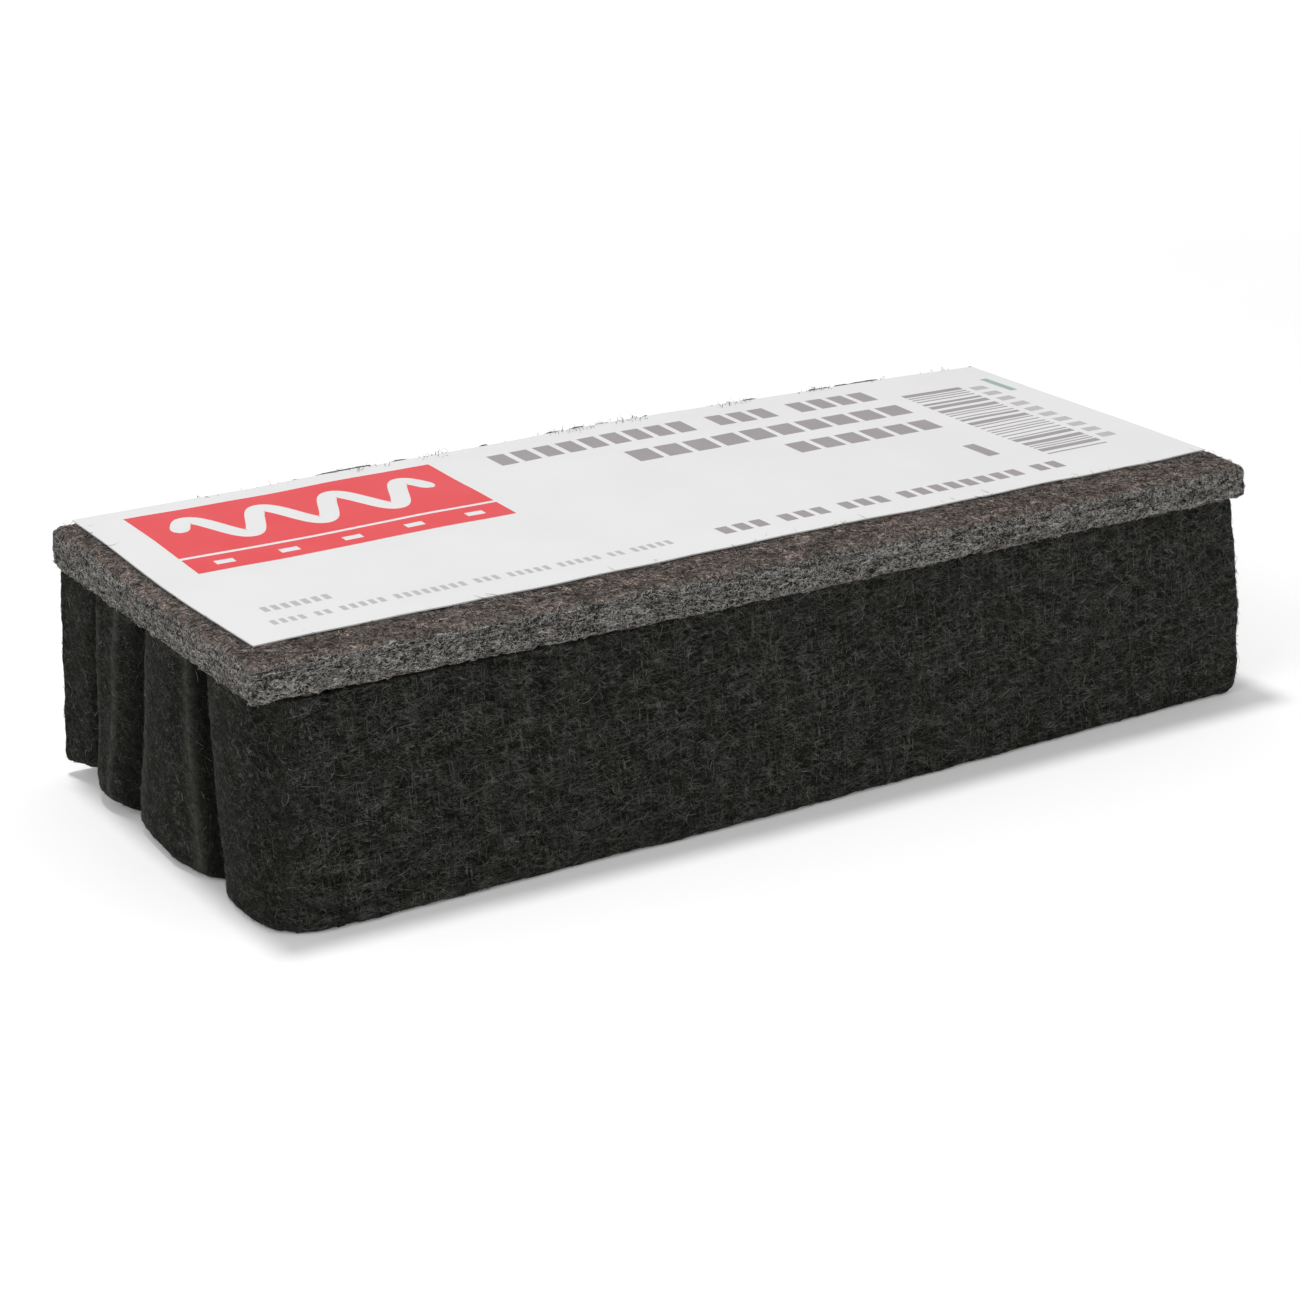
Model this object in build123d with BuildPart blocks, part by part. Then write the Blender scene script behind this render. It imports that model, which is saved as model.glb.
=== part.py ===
"""Felt chalkboard eraser: folded felt strips glued under a grey felt backing, with a paper label.

Frame, in millimetres: the origin is the centre of the wiping face, +Z points up to the label,
+X runs along the eraser from the folded ends of the strips to their cut ends.
"""

import os

from build123d import *

# Driving dimensions
LENGTH = 127.0
WIDTH = 50.8

# Black felt: seven plies side by side, six of them being three strips folded in half
PLY_COUNT = 7
PLY_HEIGHT = 25.2
FELT_SIDE_INSET = 0.3
FELT_END_INSET = 1.0
PLY_GAP = 0.2
NOSE_BULGE = 1.8
OUTER_NOSE_RADIUS = 6.0
INNER_NOSE_RADIUS = 1.2
CUT_EDGE_RADIUS = 0.8

# Glue film between the strips and the backing
GLUE_THICKNESS = 0.2
GLUE_INSET = 1.5

# Grey felt backing
BACKING_THICKNESS = 3.9
BACKING_CORNER_RADIUS = 1.8
BACKING_LOWER_EDGE_RADIUS = 0.6

# Paper label and its adhesive: bare felt stays along the near side and at the folded end
LABEL_THICKNESS = 0.15
LABEL_ADHESIVE_THICKNESS = 0.1
LABEL_NEAR_MARGIN = 6.0
LABEL_FOLD_END_MARGIN = 2.5
LABEL_FLUSH_MARGIN = 0.3
LABEL_CORNER_RADIUS = 0.5
ADHESIVE_INSET = 0.8

# Values that follow from the driving dimensions
felt_near = -WIDTH / 2 + FELT_SIDE_INSET
felt_far = WIDTH / 2 - FELT_SIDE_INSET
ply_pitch = (felt_far - felt_near) / PLY_COUNT
felt_fold_end = -LENGTH / 2 + FELT_END_INSET
felt_cut_end = LENGTH / 2 - FELT_END_INSET

glue_bottom = PLY_HEIGHT
backing_bottom = glue_bottom + GLUE_THICKNESS
backing_top = backing_bottom + BACKING_THICKNESS
label_bottom = backing_top + LABEL_ADHESIVE_THICKNESS

label_low_x = -LENGTH / 2 + LABEL_FOLD_END_MARGIN
label_high_x = LENGTH / 2 - LABEL_FLUSH_MARGIN
label_low_y = -WIDTH / 2 + LABEL_NEAR_MARGIN
label_high_y = WIDTH / 2 - LABEL_FLUSH_MARGIN
label_length = label_high_x - label_low_x
label_width = label_high_y - label_low_y
label_centre = ((label_low_x + label_high_x) / 2, (label_low_y + label_high_y) / 2)

os.makedirs("parts", exist_ok=True)

# Three strips of felt, each folded in half with its rounded nose at -X and both cut ends at +X.
# A narrow parting line runs between the two plies of a fold and stops one ply short of the nose.
# The first strip's nose is rounder on its outer side, where no neighbour presses against it.
near_nose_radii = (OUTER_NOSE_RADIUS, INNER_NOSE_RADIUS, INNER_NOSE_RADIUS)
nose_base = felt_fold_end + NOSE_BULGE
parting_end = felt_fold_end + ply_pitch
parting_length = felt_cut_end - parting_end
for fold_index, near_nose_radius in enumerate(near_nose_radii):
    near_side = felt_near + 2 * ply_pitch * fold_index + PLY_GAP / 2
    far_side = near_side + 2 * ply_pitch - PLY_GAP
    parting_y = (near_side + far_side) / 2
    with BuildPart() as felt_fold:
        with BuildSketch(Plane.XY) as fold_outline:
            with BuildLine():
                Polyline(
                    (nose_base, near_side),
                    (felt_cut_end, near_side),
                    (felt_cut_end, far_side),
                    (nose_base, far_side),
                )
                ThreePointArc((nose_base, far_side), (felt_fold_end, parting_y), (nose_base, near_side))
            make_face()
            far_nose_corner = fold_outline.vertices().sort_by(Axis.Y)[-2:].sort_by(Axis.X)[0]
            fillet(far_nose_corner, radius=INNER_NOSE_RADIUS)
            near_nose_corner = fold_outline.vertices().sort_by(Axis.Y)[:2].sort_by(Axis.X)[0]
            fillet(near_nose_corner, radius=near_nose_radius)
            with Locations((parting_end + parting_length / 2, parting_y)):
                Rectangle(parting_length, PLY_GAP, mode=Mode.SUBTRACT)
            with Locations((parting_end, parting_y)):
                Circle(PLY_GAP / 2, mode=Mode.SUBTRACT)
        extrude(amount=PLY_HEIGHT)
    felt_fold.part.label = f"felt_fold_{fold_index + 1}"
    export_step(felt_fold.part, f"parts/felt_fold_{fold_index + 1}.step")

# The seventh ply: one straight strip on the far side, cut square at both ends
with BuildPart() as felt_single_strip:
    with BuildSketch(Plane.XY):
        with Locations(((felt_fold_end + felt_cut_end) / 2, felt_far - ply_pitch / 2)):
            Rectangle(felt_cut_end - felt_fold_end, ply_pitch - PLY_GAP)
    extrude(amount=PLY_HEIGHT)
    fillet(felt_single_strip.edges().filter_by(Axis.Z), radius=CUT_EDGE_RADIUS)
felt_single_strip.part.label = "felt_single_strip"
export_step(felt_single_strip.part, "parts/felt_single_strip.step")

# Glue film that holds the upper edges of all the plies to the backing
with BuildPart() as ply_glue_layer:
    with BuildSketch(Plane.XY.offset(glue_bottom)):
        Rectangle(LENGTH - 2 * (FELT_END_INSET + GLUE_INSET), WIDTH - 2 * (FELT_SIDE_INSET + GLUE_INSET))
    extrude(amount=GLUE_THICKNESS)
ply_glue_layer.part.label = "ply_glue_layer"
export_step(ply_glue_layer.part, "parts/ply_glue_layer.step")

# Thick grey felt slab that the hand holds
with BuildPart() as backing_felt:
    with BuildSketch(Plane.XY.offset(backing_bottom)):
        RectangleRounded(LENGTH, WIDTH, BACKING_CORNER_RADIUS)
    extrude(amount=BACKING_THICKNESS)
    fillet(backing_felt.faces().sort_by(Axis.Z)[0].edges(), radius=BACKING_LOWER_EDGE_RADIUS)
backing_felt.part.label = "backing_felt"
export_step(backing_felt.part, "parts/backing_felt.step")

# Adhesive film under the label, kept back from the label's edges
with BuildPart() as label_adhesive:
    with BuildSketch(Plane.XY.offset(backing_top)):
        with Locations(label_centre):
            Rectangle(label_length - 2 * ADHESIVE_INSET, label_width - 2 * ADHESIVE_INSET)
    extrude(amount=LABEL_ADHESIVE_THICKNESS)
label_adhesive.part.label = "label_adhesive"
export_step(label_adhesive.part, "parts/label_adhesive.step")

# Paper label, flush with the far side and the cut end of the backing
with BuildPart() as label_paper:
    with BuildSketch(Plane.XY.offset(label_bottom)):
        with Locations(label_centre):
            RectangleRounded(label_length, label_width, LABEL_CORNER_RADIUS)
    extrude(amount=LABEL_THICKNESS)
label_paper.part.label = "label_paper"
export_step(label_paper.part, "parts/label_paper.step")
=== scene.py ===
"""The looks of a felt chalkboard eraser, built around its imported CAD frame.

Lengths are in millimetres until make_mesh() writes them in metres. Only the lamps and the camera's
distance are given in metres. The frame's +X runs from the folded noses of the black felt strips to
their cut ends, -Y is the near long side, +Z is up.
"""
import math

import bpy
import numpy as np
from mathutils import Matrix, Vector
from mathutils.bvhtree import BVHTree
from mathutils.geometry import delaunay_2d_cdt


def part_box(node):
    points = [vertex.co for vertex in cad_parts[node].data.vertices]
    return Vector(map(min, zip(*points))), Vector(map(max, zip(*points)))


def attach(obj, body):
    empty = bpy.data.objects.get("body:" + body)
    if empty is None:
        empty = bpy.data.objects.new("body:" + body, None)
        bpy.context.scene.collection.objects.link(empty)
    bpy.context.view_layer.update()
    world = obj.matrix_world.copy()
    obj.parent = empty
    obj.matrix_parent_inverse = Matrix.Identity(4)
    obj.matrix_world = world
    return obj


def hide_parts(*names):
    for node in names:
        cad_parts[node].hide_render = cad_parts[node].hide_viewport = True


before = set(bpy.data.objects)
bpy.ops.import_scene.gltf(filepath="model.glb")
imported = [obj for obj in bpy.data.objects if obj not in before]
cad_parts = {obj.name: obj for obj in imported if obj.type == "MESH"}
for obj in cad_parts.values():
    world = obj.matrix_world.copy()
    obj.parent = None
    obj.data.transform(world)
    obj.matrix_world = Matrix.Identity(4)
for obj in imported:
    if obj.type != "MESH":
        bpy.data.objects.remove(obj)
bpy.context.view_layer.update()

MM = 0.001


def box_mm(node):
    """The lowest and highest corner of a CAD node, in millimetres."""
    return [np.array(corner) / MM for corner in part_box(node)]


def linear(red, green, blue):
    """An sRGB colour given from 0 to 255, as the linear RGBA that Blender's sockets take."""
    channels = [c / 255 for c in (red, green, blue)]
    return [c / 12.92 if c <= 0.04045 else ((c + 0.055) / 1.055) ** 2.4 for c in channels] + [1.0]


# ---------------- places read from the frame
fold_nodes = ["felt_fold_1", "felt_fold_2", "felt_fold_3"]
fold_boxes = [box_mm(node) for node in fold_nodes]
strip_low, strip_high = box_mm("felt_single_strip")
backing_low, backing_high = box_mm("backing_felt")
label_low, label_high = box_mm("label_paper")

NOSE_X = strip_low[0]
CUT_X = strip_high[0]
PLY_TOP = strip_high[2]
PLY = strip_high[1] - strip_low[1]
PLY_GAP = fold_boxes[1][0][1] - fold_boxes[0][1][1]
NEAR_Y = fold_boxes[0][0][1]
FAR_Y = strip_high[1]
HALF_LENGTH = backing_high[0]
HALF_WIDTH = backing_high[1]


# ---------------- small numeric helpers
def smoothstep(value, low, high):
    """The soft step from 0 at low to 1 at high. It falls instead where high is below low."""
    share = np.clip((value - low) / (high - low), 0, 1)
    return share * share * (3 - 2 * share)


def ripple(points, wavelength, seed, waves=24):
    """Smooth seeded noise of unit variance at the given points, from random plane waves."""
    rng = np.random.default_rng(seed)
    directions = rng.normal(size=(waves, 3))
    directions /= np.linalg.norm(directions, axis=1)[:, None]
    wave_numbers = rng.uniform(0.7, 1.5, waves) * 2 * math.pi / wavelength
    phases = rng.uniform(0, 2 * math.pi, waves)
    total = np.zeros(len(points))
    for direction, wave_number, phase in zip(directions, wave_numbers, phases):
        total += np.sin(points @ (direction * wave_number) + phase)
    return total / math.sqrt(waves / 2)


def resample(line, count):
    """A polyline's points, replaced by count points evenly spaced along it."""
    steps = np.linalg.norm(np.diff(line, axis=0), axis=1)
    along = np.concatenate([[0], np.cumsum(steps)])
    wanted = np.linspace(0, along[-1], count)
    return np.stack([np.interp(wanted, along, line[:, axis]) for axis in range(line.shape[1])], axis=1)


# ---------------- mesh helpers
def make_mesh(name, points, faces, materials, material_ids=None):
    """A smooth-shaded mesh object from points in millimetres."""
    mesh = bpy.data.meshes.new(name)
    mesh.from_pydata((np.asarray(points) * MM).tolist(), [], [list(face) for face in faces])
    for material in materials:
        mesh.materials.append(material)
    if material_ids is not None:
        mesh.polygons.foreach_set("material_index", np.asarray(material_ids, dtype=np.int32))
    mesh.polygons.foreach_set("use_smooth", np.ones(len(mesh.polygons), dtype=bool))
    mesh.update()
    piece = bpy.data.objects.new(name, mesh)
    bpy.context.scene.collection.objects.link(piece)
    return piece


def push_along_normals(points, faces, amount):
    """The points moved along their own normals by amount millimetres each."""
    mesh = bpy.data.meshes.new("scratch")
    mesh.from_pydata(points.tolist(), [], [list(face) for face in faces])
    normals = np.empty(len(points) * 3)
    mesh.vertices.foreach_get("normal", normals)
    bpy.data.meshes.remove(mesh)
    return points + normals.reshape(-1, 3) * np.asarray(amount)[:, None]


# ---------------- materials
class Tree:
    """A material's node tree, with short ways to add and link nodes."""

    def __init__(self, name):
        self.material = bpy.data.materials.new(name)
        self.material.use_nodes = True
        self.nodes = self.material.node_tree.nodes
        self.links = self.material.node_tree.links
        self.shader = self.nodes["Principled BSDF"]

    def node(self, kind, sockets=None, **settings):
        """A new node. sockets gives its inputs, by name or number, a value or another's output."""
        made = self.nodes.new(kind)
        for key, value in settings.items():
            setattr(made, key, value)
        for key, value in (sockets or {}).items():
            self.feed(made.inputs[key], value)
        return made

    def feed(self, socket, value):
        """Links another node's output to a socket, or sets the socket to a plain value."""
        if isinstance(value, bpy.types.NodeSocket):
            self.links.new(value, socket)
        else:
            socket.default_value = value

    def math(self, operation, first, second=0.0, clamp=False):
        made = self.node("ShaderNodeMath", {0: first, 1: second}, operation=operation, use_clamp=clamp)
        return made.outputs[0]

    def span(self, value, from_low, from_high, to_low=0.0, to_high=1.0):
        """A value's soft step from one range to another."""
        sockets = dict(enumerate((value, from_low, from_high, to_low, to_high)))
        return self.node("ShaderNodeMapRange", sockets, interpolation_type="SMOOTHSTEP").outputs[0]

    def mix(self, share, first, second):
        """The first colour where share is 0, the second where it is 1."""
        return self.node("ShaderNodeMix", {0: share, 6: first, 7: second}, data_type="RGBA").outputs[2]

    def object_mm(self):
        """The surface point in object space, in millimetres."""
        metres = self.node("ShaderNodeTexCoord").outputs["Object"]
        return self.node("ShaderNodeVectorMath", {0: metres, "Scale": 1 / MM}, operation="SCALE").outputs[0]

    def mapped(self, vector, turn=(0, 0, 0), scale=(1, 1, 1), move=(0, 0, 0)):
        angles = [math.radians(angle) for angle in turn]
        sockets = {"Vector": vector, "Location": move, "Rotation": angles, "Scale": scale}
        return self.node("ShaderNodeMapping", sockets, vector_type="TEXTURE").outputs[0]

    def noise(self, vector, size, detail=2.0, distortion=0.0):
        """A noise whose features are about size millimetres wide."""
        sockets = {"Vector": vector, "Scale": 1 / size, "Detail": detail, "Distortion": distortion}
        return self.node("ShaderNodeTexNoise", sockets).outputs["Fac"]

    def hairs(self, vector, turns, cell, thin, offset):
        """Thin light streaks in several directions: the ridges of noise stretched over long cells."""
        total = None
        for index, turn in enumerate(turns):
            move = (offset + 17.0 * index, 9.0 * index, 5.0 * index)
            laid = self.mapped(vector, turn=turn, scale=cell, move=move)
            ridge = self.math("ABSOLUTE", self.math("SUBTRACT", self.noise(laid, 1.0, 1.5, 0.6), 0.5))
            line = self.span(ridge, 0.0, thin, 1.0, 0.0)
            gate = self.span(self.noise(laid, 1.7, 0.0), 0.42, 0.62)
            streak = self.math("MULTIPLY", line, gate)
            total = streak if total is None else self.math("MAXIMUM", total, streak)
        return total

    def facing(self, axis):
        """How far the surface faces along an axis, either way, from 0 to 1."""
        normal = self.node("ShaderNodeNewGeometry").outputs["Normal"]
        return self.math("ABSOLUTE", self.node("ShaderNodeSeparateXYZ", {0: normal}).outputs[axis])

    def bump(self, height, distance, strength):
        sockets = {"Strength": strength, "Distance": distance * MM, "Height": height}
        return self.node("ShaderNodeBump", sockets).outputs[0]

    def finish(self, base, roughness, normal=None, sheen=0.0, sheen_tint=(1, 1, 1, 1), specular=0.3):
        sockets = {"Base Color": base, "Roughness": roughness, "Specular IOR Level": specular,
                   "Sheen Weight": sheen, "Sheen Roughness": 0.45, "Sheen Tint": sheen_tint}
        if normal is not None:
            sockets["Normal"] = normal
        for name, value in sockets.items():
            self.feed(self.shader.inputs[name], value)
        return self.material


def black_felt_material():
    """Pressed black wool: a dark ground under a mat of short hairs, with painted highlights on the noses'
    ridges and crevice rims, and painted shade in the crevices.

    The hairs run along the strips on their sides, and across them on the noses and cut ends.
    """
    tree = Tree("black_felt")
    solid = tree.object_mm()
    mottle = tree.span(tree.noise(solid, 5.0, 3.0), 0.35, 0.65)
    ground = tree.mix(mottle, linear(9, 10, 7), linear(10, 10, 10))
    side_turns = [(0, 0, 0), (0, 16, 10), (0, -20, -8), (0, 40, 6), (0, 84, 0)]
    end_turns = [(0, 0, 0), (28, 0, 0), (-40, 0, 0), (70, 0, 0)]
    along = tree.hairs(solid, side_turns, (2.6, 0.22, 0.22), 0.041, 3.0)
    across = tree.hairs(solid, end_turns, (0.24, 2.0, 0.24), 0.031, 41.0)
    end_share = tree.span(tree.facing(0), 0.45, 0.8)
    hairs = tree.math("MAXIMUM", tree.math("MULTIPLY", along, tree.math("SUBTRACT", 1.0, end_share)),
                      tree.math("MULTIPLY", across, end_share))
    grain = tree.noise(solid, 0.3, 2.0)
    shade = tree.mix(tree.span(grain, 0.3, 0.75), linear(4, 4, 3), linear(27, 27, 23))
    base = tree.mix(0.5, ground, shade)
    clumps = tree.span(tree.noise(tree.mapped(solid, move=(7, 3, 9)), 1.6, 4.0), 0.34, 0.62, 0.5, 1.0)
    hair_colour = tree.mix(mottle, linear(92, 93, 84), linear(92, 93, 92))
    base = tree.mix(tree.math("MULTIPLY", hairs, clumps), base, hair_colour)
    # Painted highlight: the noses' ridges and crevice rims are mixed towards a lighter grey, in patches set
    # by noise.
    painted_highlight = tree.node("ShaderNodeAttribute", attribute_name="painted_highlight")
    worn = tree.span(tree.noise(solid, 0.5, 3.0), 0.3, 0.7, 0.3, 0.9)
    base = tree.mix(tree.math("MULTIPLY", painted_highlight.outputs["Fac"], worn), base, linear(76, 77, 70))
    # Painted shade: the crevices between the noses are mixed towards near black.
    crevice = tree.node("ShaderNodeAttribute", attribute_name="crevice")
    base = tree.mix(tree.math("MULTIPLY", crevice.outputs["Fac"], 0.85), base, linear(5, 5, 4))
    height = tree.math("ADD", tree.math("MULTIPLY", hairs, 0.6), tree.math("MULTIPLY", grain, 0.8))
    normal = tree.bump(height, 0.14, 0.8)
    return tree.finish(base, 0.95, normal, sheen=0.1, sheen_tint=linear(150, 152, 142), specular=0.05)


def grey_felt_material():
    """Heather backing felt: speckled, slightly layered sides, and a browner, tufted upper face, darkened by
    painted shadow along the label's near and left edges.
    """
    tree = Tree("grey_felt")
    solid = tree.object_mm()
    place = tree.node("ShaderNodeSeparateXYZ", {0: solid})
    coarse = tree.noise(tree.mapped(solid, scale=(1.8, 1.8, 0.9), move=(31, 5, 2)), 0.6, 4.0, 0.4)
    layers = tree.noise(tree.mapped(solid, scale=(9, 9, 0.8), move=(2, 7, 1)), 1.0, 2.0)
    turns = [(0, 0, 0), (0, 14, 5), (0, -16, 0), (0, 0, 90), (12, 0, 84)]
    light_dashes = tree.hairs(solid, turns, (1.4, 0.24, 0.24), 0.037, 21.0)
    dark_dashes = tree.hairs(solid, turns, (1.7, 0.26, 0.26), 0.05, 63.0)
    side = tree.mix(tree.span(coarse, 0.38, 0.62), linear(16, 16, 15), linear(58, 56, 53))
    side = tree.mix(tree.math("MULTIPLY", dark_dashes, 0.8), side, linear(16, 16, 15))
    side = tree.mix(tree.math("MULTIPLY", light_dashes, 0.95), side, linear(214, 211, 206))
    side = tree.mix(tree.span(layers, 0.5, 0.68, 0.0, 0.4), side, linear(24, 23, 22))
    tufts = tree.noise(tree.mapped(solid, move=(3, 60, 8)), 1.9, 3.0, 0.5)
    curls = tree.noise(tree.mapped(solid, move=(5, 1, 44)), 0.38, 2.5, 1.2)
    top = tree.mix(tree.span(curls, 0.40, 0.62), linear(44, 41, 39), linear(138, 129, 123))
    pink = tree.mix(tree.span(curls, 0.42, 0.64), linear(86, 74, 69), linear(210, 188, 179))
    top = tree.mix(tree.span(tufts, 0.52, 0.66), top, pink)
    top = tree.mix(tree.span(tufts, 0.44, 0.34, 0.0, 0.5), top, linear(30, 31, 27))
    hairs = tree.hairs(solid, [(0, 0, 8), (0, 25, -22), (20, -20, 50)], (1.1, 0.14, 0.14), 0.06, 11.0)
    top = tree.mix(tree.math("MULTIPLY", hairs, 0.5), top, linear(150, 140, 132))
    # Painted shadow: the bare upper face darkens just outside the label's near and left edges.
    beside_near = tree.span(place.outputs[1], label_low[1] - 1.1, label_low[1] - 0.1)
    beside_left = tree.span(place.outputs[0], label_low[0] - 0.8, label_low[0])
    beside = tree.math("MULTIPLY", beside_near, beside_left)
    top = tree.mix(tree.math("MULTIPLY", beside, 0.4), top, linear(16, 14, 13))
    upward = tree.span(tree.facing(2), 0.45, 0.8)
    base = tree.mix(upward, side, top)
    dashes = tree.math("ADD", light_dashes, tree.math("MULTIPLY", hairs, 0.5))
    height = tree.math("ADD", tree.math("ADD", coarse, curls), tree.math("MULTIPLY", dashes, 0.5))
    normal = tree.bump(height, 0.25, 0.8)
    return tree.finish(base, 0.95, normal, sheen=0.1, sheen_tint=linear(180, 176, 170), specular=0.06)


def hair_material(name, light, dark, sheen):
    """Loose fibres: each takes a shade from slow noise, so that neighbours differ."""
    tree = Tree(name)
    share = tree.span(tree.noise(tree.object_mm(), 0.9, 2.0), 0.3, 0.7)
    base = tree.mix(share, dark, light)
    return tree.finish(base, 0.8, sheen=sheen, sheen_tint=light, specular=0.2)


def paper_material():
    """White label stock with a faint tooth and slight soiling."""
    tree = Tree("label_paper")
    solid = tree.object_mm()
    cloud = tree.span(tree.noise(solid, 14.0, 4.0), 0.3, 0.7)
    base = tree.mix(cloud, linear(222, 222, 222), linear(225, 225, 225))
    tooth = tree.noise(solid, 0.25, 3.0)
    wave = tree.noise(tree.mapped(solid, scale=(2.0, 1.0, 1.0)), 9.0, 1.0)
    height = tree.math("ADD", tree.math("MULTIPLY", tooth, 0.03), tree.math("MULTIPLY", wave, 0.5))
    return tree.finish(base, 0.55, tree.bump(height, 0.4, 0.35), specular=0.35)


def ink_material(name, colour, worn):
    """Printed ink: solid colour with a fine speckle where the paper shows through."""
    tree = Tree(name)
    solid = tree.object_mm()
    speckle = tree.span(tree.noise(solid, 0.3, 3.0), 0.62, 0.78, 0.0, 0.5)
    cloud = tree.math("MULTIPLY", tree.span(tree.noise(solid, 6.0, 3.0), 0.3, 0.8), 0.25)
    base = tree.mix(tree.math("ADD", speckle, cloud, clamp=True), colour, worn)
    return tree.finish(base, 0.5, tree.bump(tree.noise(solid, 0.25, 3.0), 0.4, 0.02), specular=0.35)


def film_material(name, light, dark, roughness):
    """A thin dried adhesive film, cloudy and a little uneven."""
    tree = Tree(name)
    solid = tree.object_mm()
    cloud = tree.span(tree.noise(solid, 3.0, 4.0), 0.3, 0.7)
    base = tree.mix(cloud, dark, light)
    return tree.finish(base, roughness, tree.bump(cloud, 0.1, 0.3), specular=0.4)


BLACK_FELT = black_felt_material()
GREY_FELT = grey_felt_material()
PAPER = paper_material()
RED_INK = ink_material("red_ink", linear(222, 66, 72), linear(226, 92, 96))
GREY_INK = ink_material("grey_ink", linear(150, 144, 145), linear(166, 160, 161))
PALE_INK = ink_material("pale_ink", linear(180, 177, 178), linear(194, 192, 192))
GREEN_INK = ink_material("green_ink", linear(150, 170, 158), linear(176, 190, 182))
BLACK_HAIRS = [
    hair_material("black_hair_dark", linear(46, 47, 42), linear(18, 19, 16), 0.1),
    hair_material("black_hair_mid", linear(86, 87, 86), linear(44, 45, 43), 0.12),
    hair_material("black_hair_light", linear(140, 140, 136), linear(92, 93, 88), 0.12),
]
GREY_HAIRS = [
    hair_material("grey_hair_dark", linear(44, 41, 38), linear(16, 15, 14), 0.1),
    hair_material("grey_hair_brown", linear(134, 112, 104), linear(70, 58, 52), 0.15),
    hair_material("grey_hair_light", linear(196, 193, 187), linear(118, 116, 111), 0.15),
]


# ---------------- black felt strips
# The noses bend as one soft mass. Each list below has a value for the near long side, for each
# crevice between two strips, and for the far long side: how far the noses fan towards the far side
# at their upper and lower edges, and how far their lower edge lifts and steps out.
CREVICE_Y = [NEAR_Y] + [box[1][1] + PLY_GAP / 2 for box in fold_boxes] + [FAR_Y]
FAN_AT_TOP = [0.0, 3.4, 2.2, -0.9, 1.2]
FAN_AT_BOTTOM = [0.0, 0.8, 7.5, 4.8, 2.9]
LIFT_AT_BOTTOM = [0.0, 0.15, 0.7, 2.0, 1.5]
STEP_OUT_AT_BOTTOM = [-0.8, 0.5, 0.3, -0.4, 0.3]
FAN_REACH = 15.0
LIFT_REACH = 10.0
STEP_OUT_REACH = 8.0
NOSE_SWAY = 0.35
# Soft upright ridges on the noses, as (place in y, half width), and how far they stand out.
NOSE_RIDGES = [(-8.4, 0.7), (9.0, 0.9), (15.2, 0.7)]
RIDGE_HEIGHT = 0.6
RIDGE_START, RIDGE_END = 0.5, 2.5
# How wide and how dark the shade in each crevice is, and how far behind the noses' ends it fades.
CREVICE_WIDTHS = [2.4, 3.8, 2.0]
CREVICE_DARKNESS = [1.0, 0.9, 0.35]
SHADE_FULL, SHADE_GONE = 10.0, 16.0
# A painted highlight lies this far beside a crevice, and this far behind the noses' ends.
RIM_FULL, RIM_GONE = 1.0, 4.0
HIGHLIGHT_FULL, HIGHLIGHT_GONE = 3.0, 5.0
# The cut ends lean outwards, each ply by its own amount, with their lower corners worn back.
FLARE_AT_CUT_END = 3.7
FLARE_REACH = 20.0
FLARE_BEND = 1.45
FLARE_DIFFERENCE = 0.16
CUT_CORNER = 1.6
CUT_CORNER_HEIGHT = 1.1
CUT_CORNER_REACH = 3.0
# The near long side bows outwards.
NEAR_BOW = 0.7
NEAR_BOW_X = -12.0
NEAR_BOW_REACH = 42.0
# The outside of the block is counted this deep on its flat sides, and on its noses.
SKIN = 0.6
NOSE_SKIN = 4.5
# How far the whole block and its noses stray from straight.
BLOCK_WANDER = 0.22
NOSE_WANDER = 0.2
BOTTOM_RADIUS = 0.7
TOP_RADIUS = 0.3
CUT_RADIUS = 0.7
CUT_RINGS = 4
STATION_STEP = 0.7
OUTER_ROWS = 40
INNER_ROWS = 12
EDGE_ROWS = 9
NOSE_STATIONS = 41
# Each nose's roundness in plan: depth and squareness of its near half, then of its far half.
NOSE_SHAPES = [((7.9, 2.8), (3.8, 2.2)), ((3.7, 1.8), (2.7, 2.9)), ((2.4, 1.8), (1.6, 3.2))]


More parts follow.
